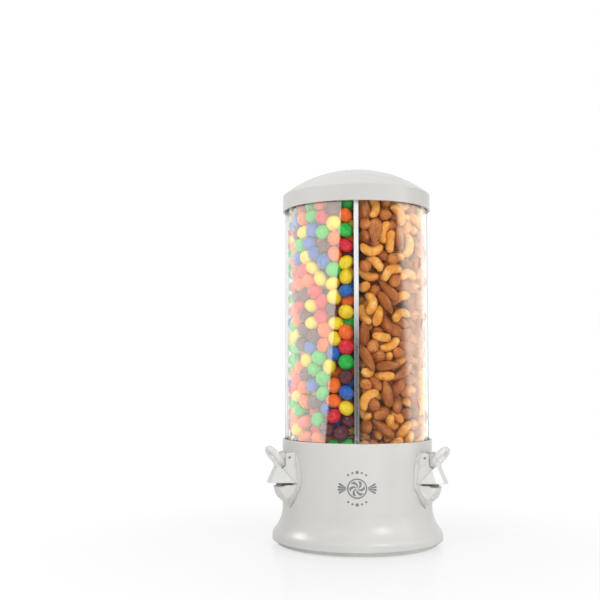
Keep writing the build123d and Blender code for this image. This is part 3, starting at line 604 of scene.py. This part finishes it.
def sugar_shell(name, colour):
    """Hard sugar coating: even colour with faint cloudiness, glossy and a little uneven."""
    light = tuple(min(1, c * 1.12 + 0.012) for c in colour)
    dark = tuple(c * 0.82 for c in colour)
    material, tree, shader = varied(
        name, tones=[(0.3, dark), (0.7, light)], mottle=(120.0, 3.0), rough=(0.2, 0.34),
        patches=(500.0, 3.0), Coat_Weight=0.3, Coat_Roughness=0.12, Subsurface_Weight=0.08,
        Subsurface_Scale=0.002)
    grained(tree, shader, (700.0, 2.0), strength=0.12, depth=0.0006)
    return material


def nut_skin(name, tones, stretch, rough, strength, depth=0.0011, streak_share=0.55):
    """Nut skin: streaks along the nut, wrinkles to match and a dull sheen."""
    material, tree = new_material(name)
    shader = tree.nodes["Principled BSDF"]
    streaks = noise(tree, 1.0, 5.0, 0.6, vector=own_vector(tree, stretch), distortion=0.4)
    patches = noise(tree, 90.0, 4.0)
    blend = calculate(tree, "MULTIPLY_ADD", streaks, streak_share,
                      calculate(tree, "MULTIPLY", patches, 1 - streak_share))
    stops = [(position, linear(*tone)) for position, tone in zip((0.3, 0.5, 0.7), tones)]
    tree.links.new(ramp(tree, blend, stops), shader.inputs["Base Color"])
    tree.links.new(spread(tree, patches, rough - 0.08, rough + 0.1), shader.inputs["Roughness"])
    tree.links.new(bump(tree, streaks, strength, depth), shader.inputs["Normal"])
    return material


# Contents: balls that stand for each shape while it is packed (place and radius), then how many there are

SWEETS = [
    ("orange", (255, 108, 4), 0.2), ("green", (24, 190, 66), 0.22), ("yellow", (255, 216, 20), 0.14),
    ("red", (224, 16, 44), 0.13), ("coral", (246, 96, 84), 0.08), ("blue", (14, 98, 186), 0.1),
    ("brown", (92, 26, 40), 0.13),
]
SWEET_BALL = [(0, 0, 0, 7.0)]
ALMOND_BALLS = [(-8.6, 0, 0, 3.8), (-3.6, 0, 0, 5.5), (2.2, 0, 0, 5.6), (8.1, 0, 0, 4.0), (12.4, 0, 0, 1.8)]
CASHEW_BALLS = [(-7.6, -1.6, 0, 4.2), (-4.4, 2.0, 0, 4.6), (0, 3.8, 0, 4.7), (4.4, 2.0, 0, 4.6),
                (7.6, -1.6, 0, 4.0)]
HAZEL_BALL = [(0, 0, 0, 5.7)]
SWEETS_EACH, SWEET_SIZES, NUT_SIZES = 446, (0.95, 1.02), (0.92, 1.0)
ROUNDS = 260

sweet_mesh = sweet_shape(7)
sweet_mats = [sugar_shell(f"sugar_shell_{name}", linear(*colour)) for name, colour, _ in SWEETS]
shares = np.array([share for _, _, share in SWEETS])
for side, seed in (("left", 11), ("back", 29)):
    _, centres, rotations = pack(Room(SIDES[side]), [SWEET_BALL], [SWEETS_EACH], seed, ROUNDS)
    rng = np.random.default_rng(seed + 5)
    colour = rng.choice(len(SWEETS), len(centres), p=shares / shares.sum())
    scale = rng.uniform(*SWEET_SIZES, len(centres))
    for k, (name, _, _) in enumerate(SWEETS):
        mine = colour == k
        joined(f"sweets_{side}_{name}", sweet_mesh, centres[mine], rotations[mine], scale[mine],
               sweet_mats[k])

nut_kinds = [
    ("almonds", ALMOND_BALLS, 186, almond_shape(long=15, around=18),
     nut_skin("almond_skin", [(110, 50, 16), (182, 100, 38), (236, 168, 92)],
              stretch=(1.6, 14.0, 1.0), rough=0.36, strength=0.6)),
    ("cashews", CASHEW_BALLS, 146, cashew_shape(long=17, around=14),
     nut_skin("cashew_skin", [(214, 126, 34), (242, 166, 64), (255, 216, 138)],
              stretch=(3.0, 3.0, 1.0), rough=0.32, strength=0.15)),
    ("hazelnuts", HAZEL_BALL, 98, hazelnut_shape(7),
     nut_skin("hazelnut_skin", [(146, 74, 24), (206, 122, 50), (244, 186, 114)],
              stretch=(2.0, 8.0, 1.0), rough=0.36, strength=0.3)),
]
_, balls, counts, _, _ = zip(*nut_kinds)
kind, centres, rotations = pack(Room(SIDES["right"]), balls, counts, 47, ROUNDS)
scale = np.random.default_rng(7).uniform(*NUT_SIZES, len(centres))
for k, (name, _, _, shape, material) in enumerate(nut_kinds):
    mine = kind == k
    joined(f"nuts_right_{name}", shape, centres[mine], rotations[mine], scale[mine], material)

# Badge on the front of the base: radii in mm round its centre, place and rise of the print in metres

BADGE_WALL_R, BADGE_HEIGHT, PRINT_RISE, PRINT_ROOT = 0.07100, 0.059, 0.00012, -0.00005
RING_R, BLADE_R, BLADES, BLADE_TWIST = (7.7, 8.9), (0.9, 6.8), 6, 55
WRAPPER_X, WRAPPER_R, PLEATS, PLEAT_HALF, SCALLOP = 8.2, (1.6, 8.4), (-27, -9, 9, 27), 6.5, 0.9
DOT_ARC_R, DOT_STEP, DOT_R, MIDDLE_DOT_R = 14.2, 17, 1.0, 1.5


def polar(x0, z0, radii, angles, twist=0.0, scallop=0.0):
    """Point maker for a patch between two radii and two angles, in degrees, round a centre."""
    def point_of(u, v):
        r = radii[0] + (radii[1] - radii[0]) * u + scallop * u * math.sin(math.pi * v)
        a = math.radians(angles[0] + (angles[1] - angles[0]) * v + twist * u)
        return x0 + r * math.cos(a), z0 + r * math.sin(a)
    return point_of


def on_wall(x, z, out):
    """A point of the flat drawing bent to the wall of the base, a little way out of it."""
    x, z = x / MM_PER_M, z / MM_PER_M
    r = BADGE_WALL_R + out
    return Vector((r * math.sin(x / BADGE_WALL_R), -r * math.cos(x / BADGE_WALL_R), BADGE_HEIGHT + z))


def print_patch(bm, point_of, across, along):
    """A printed patch: a grid of faces, and a low edge round it down to the wall."""
    grid = [[point_of(i / across, j / along) for j in range(along + 1)] for i in range(across + 1)]
    top = [[bm.verts.new(on_wall(*p, PRINT_RISE)) for p in row] for row in grid]
    for i in range(across):
        for j in range(along):
            bm.faces.new((top[i][j], top[i + 1][j], top[i + 1][j + 1], top[i][j + 1]))
    ends = [(i, 0) for i in range(across)] + [(across, j) for j in range(along)]
    ends += [(i, along) for i in range(across, 0, -1)] + [(0, j) for j in range(along, 0, -1)]
    foot = [bm.verts.new(on_wall(*grid[i][j], PRINT_ROOT)) for i, j in ends]
    for k in range(len(ends)):
        (a, b), (c, d) = ends[k], ends[(k + 1) % len(ends)]
        bm.faces.new((top[a][b], foot[k], foot[(k + 1) % len(ends)], top[c][d]))


def badge():
    """A wrapped sweet in grey print: pinwheel, wrapper ends and dots."""
    bm = bmesh.new()
    for quarter in range(0, 360, 90):
        print_patch(bm, polar(0, 0, RING_R, (quarter, quarter + 90)), 2, 18)
    blade_turn = 360 // BLADES
    for blade in range(0, 360, blade_turn):
        print_patch(bm, polar(0, 0, BLADE_R, (blade, blade + blade_turn / 2), twist=BLADE_TWIST), 12, 6)
    for side, x0 in ((0, WRAPPER_X), (180, -WRAPPER_X)):
        for pleat in PLEATS:
            edges = (side + pleat - PLEAT_HALF, side + pleat + PLEAT_HALF)
            print_patch(bm, polar(x0, 0, WRAPPER_R, edges, scallop=SCALLOP), 8, 6)
    for middle in (90, 270):
        for step in range(-2, 3):
            a = math.radians(middle + DOT_STEP * step)
            x0, z0 = DOT_ARC_R * math.cos(a), DOT_ARC_R * math.sin(a)
            radii = (0.0, DOT_R if step else MIDDLE_DOT_R)
            for half in (0, 180):
                print_patch(bm, polar(x0, z0, radii, (half, half + 180)), 1, 12)
    bmesh.ops.remove_doubles(bm, verts=bm.verts, dist=1e-7)
    bmesh.ops.recalc_face_normals(bm, faces=bm.faces)
    mesh = bpy.data.meshes.new("badge_print")
    bm.to_mesh(mesh)
    bm.free()
    return put("badge_print", mesh)


badge_grey = shell_plastic("badge_grey_print", (134, 135, 138), (116, 117, 121), 0.4, grain=0.03, edge=0.0)
printed = badge()
printed.data.materials.append(badge_grey)
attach(printed, "base")

# Floor and room, in metres

FLOOR_Z, FLOOR_X, FLOOR_Y = -0.0002, (-8, 8), (-4, 14)
SHADOW_R, WHITE_R, NEAR_WHITE = 0.09, 0.34, 0.66


def floor():
    """Pale polished floor that turns to plain white away from the object."""
    (left, right), (front, rear) = FLOOR_X, FLOOR_Y
    mesh = bpy.data.meshes.new("floor")
    corners = [(left, front), (right, front), (right, rear), (left, rear)]
    mesh.from_pydata([(x, y, FLOOR_Z) for x, y in corners], [], [(0, 1, 2, 3)])
    obj = put("floor", mesh)
    material, tree, shader = varied(
        "pale_floor", tones=[(0.3, (0.87, 0.87, 0.87)), (0.7, (0.9, 0.9, 0.9))],
        mottle=(3.0, 2.0), rough=(0.1, 0.16), patches=(8.0, 2.0))
    glow = add_node(tree, "ShaderNodeEmission", Strength=1.0)
    away = spread(tree, length_of(tree, place_on(tree)), NEAR_WHITE, 1.0, start=SHADOW_R, end=WHITE_R,
                  smooth=True)
    seen = tree.nodes.new("ShaderNodeLightPath").outputs["Is Camera Ray"]
    surface = mixed(tree, calculate(tree, "MULTIPLY", seen, away), shader.outputs[0], glow.outputs[0])
    tree.links.new(surface, tree.nodes["Material Output"].inputs["Surface"])
    mesh.materials.append(material)


def world():
    """Even room light, white behind the object, and in mirrors a white room with a dark camera end."""
    scene.world = bpy.data.worlds.new("studio")
    scene.world.use_nodes = True
    tree = scene.world.node_tree
    tree.nodes.clear()
    output = tree.nodes.new("ShaderNodeOutputWorld")
    room = add_node(tree, "ShaderNodeBackground", Color=(0.97, 0.985, 1.0, 1.0), Strength=0.42)
    behind = add_node(tree, "ShaderNodeBackground", Color=WHITE, Strength=1.0)
    mirrored = add_node(tree, "ShaderNodeBackground", Color=WHITE)
    depth = parts_of(tree, place_on(tree, output="Generated"))["Y"]
    dark_to_white = spread(tree, depth, low=0.16, high=0.9, start=-0.6, end=0.3)
    tree.links.new(dark_to_white, mirrored.inputs["Strength"])
    path = tree.nodes.new("ShaderNodeLightPath").outputs
    light = mixed(tree, path["Is Glossy Ray"], room.outputs[0], mirrored.outputs[0])
    seen = calculate(tree, "MAXIMUM", path["Is Camera Ray"], path["Is Transmission Ray"])
    tree.links.new(mixed(tree, seen, light, behind.outputs[0]), output.inputs["Surface"])


# Lamps: place and target in metres, width and height in metres, then watts


def lamp(name, place, target, size, watts, colour=(1, 1, 1), mirrored=False, reach=None):
    """An area lamp. A mirrored one shows only in gloss, and any other one only outside gloss.
    It reaches all pieces, or only those that are given."""
    light = bpy.data.lights.new(name, "AREA")
    light.shape = "RECTANGLE"
    light.size, light.size_y = size
    light.energy = watts
    light.color = colour
    obj = put(name, light)
    obj.location = place
    way = Vector(target) - Vector(place)
    obj.rotation_euler = way.to_track_quat("-Z", "Y").to_euler()
    obj.visible_glossy = mirrored
    if mirrored:
        obj.visible_diffuse = False
        obj.visible_transmission = False
        obj.visible_camera = False
    if reach is not None:
        group = bpy.data.collections.new(name + "_reach")
        for piece in reach:
            group.objects.link(piece)
        obj.light_linking.receiver_collection = group
    return obj


def edge_mask(obj, lean, offset, fade, back, ebb=0.6, rest=0.12):
    """Lights only the part of an upright side lamp where y + lean * z + offset is above zero,
    and lets it fade out behind the object from the given y on."""
    obj.data.use_nodes = True
    tree = obj.data.node_tree
    place = parts_of(tree, place_on(tree, "ShaderNodeNewGeometry", "Position"))
    line = calculate(tree, "MULTIPLY_ADD", place["Z"], lean, place["Y"])
    lit = spread(tree, line, 0.0, 1.0, start=-offset, end=fade - offset, smooth=True)
    faded = spread(tree, place["Y"], 1.0, rest, start=back, end=back + ebb, smooth=True)
    tree.links.new(calculate(tree, "MULTIPLY", lit, faded), tree.nodes["Emission"].inputs["Strength"])


floor()
world()
FOOT, MIDDLE, TOP = (0, 0, 0.05), (0, 0, 0.18), (0, 0, 0.33)
lid, tube = nodes["lid"], nodes["tube"]
all_but_lid = [obj for obj in bpy.data.objects if obj.type == "MESH" and obj != lid]
contents = [obj for obj in all_but_lid if obj.name.startswith(("sweets_", "nuts_"))]
shell = [node for node in nodes.values() if node.data.materials[0] in (white, lever_white, spout_white)]
shell_below = [node for node in shell if node != lid]

lamp("key_left", (-0.8, -1.2, 1.0), MIDDLE, (0.6, 0.6), 8.0)
lamp("fill_right", (0.9, -1.1, 0.9), MIDDLE, (0.6, 0.6), 5.2)
lamp("top", (-0.2, 0.1, 1.5), MIDDLE, (1.0, 1.0), 4.2)
lamp("front_low", (0.15, -1.5, 0.14), (0, 0, 0.12), (0.9, 0.25), 3.5, reach=all_but_lid)
lamp("back_fill", (0.3, 1.6, 0.9), MIDDLE, (0.8, 0.6), 8.5)
lamp("side_right", (1.4, -0.35, 0.35), MIDDLE, (0.5, 0.8), 3.0)
lamp("side_left", (-1.3, -0.3, 0.6), TOP, (0.5, 0.5), 2.2, reach=[lid])

veil_left = lamp("veil_left", (-0.8, 0.1, 0.5), (0, 0.1, 0.5), (4.2, 1.0), 72.0, (1.0, 0.96, 0.86),
                 mirrored=True, reach=[tube])
edge_mask(veil_left, lean=1.95, offset=0.66, fade=0.06, back=0.45)
veil_right = lamp("veil_right", (0.8, 1.0, 0.5), (0, 1.0, 0.5), (2.9, 1.0), 44.0, (0.98, 0.98, 0.87),
                  mirrored=True, reach=[tube])
edge_mask(veil_right, lean=0.79, offset=0.06, fade=0.2, back=1.0)
lamp("glint_left", (-1.15, 0.25, 0.95), FOOT, (0.45, 0.3), 4.0, mirrored=True, reach=shell_below)
lamp("glint_right", (0.74, 0.0, 1.3), FOOT, (0.35, 0.3), 2.6, mirrored=True, reach=shell_below)
lamp("glint_front", (0.9, -1.1, 0.9), MIDDLE, (0.45, 0.45), 9.0, mirrored=True, reach=shell_below)
lamp("sparkle", (-0.5, -1.3, 1.1), (0, 0, 0.2), (0.3, 0.3), 4.6, mirrored=True, reach=contents)
lamp("strip_right", (1.0, -0.33, 0.35), (0, 0, 0.2), (0.35, 0.9), 1.6, mirrored=True, reach=shell)

# Camera: low in front, tipped up and turned left, so the object stands low and right in the picture

LENS_MM, SENSOR_MM, TIP_UP, TURN_LEFT = 56.9, 36.0, math.radians(4.1), math.radians(3.41)
camera = bpy.data.cameras.new("camera")
camera.lens = LENS_MM
camera.sensor_width = SENSOR_MM
viewer = put("camera", camera)
viewer.location = (0, -0.917, 0.165)
viewer.rotation_euler = (math.pi / 2 + TIP_UP, 0, TURN_LEFT)
scene.camera = viewer
scene.view_settings.view_transform = "Standard"
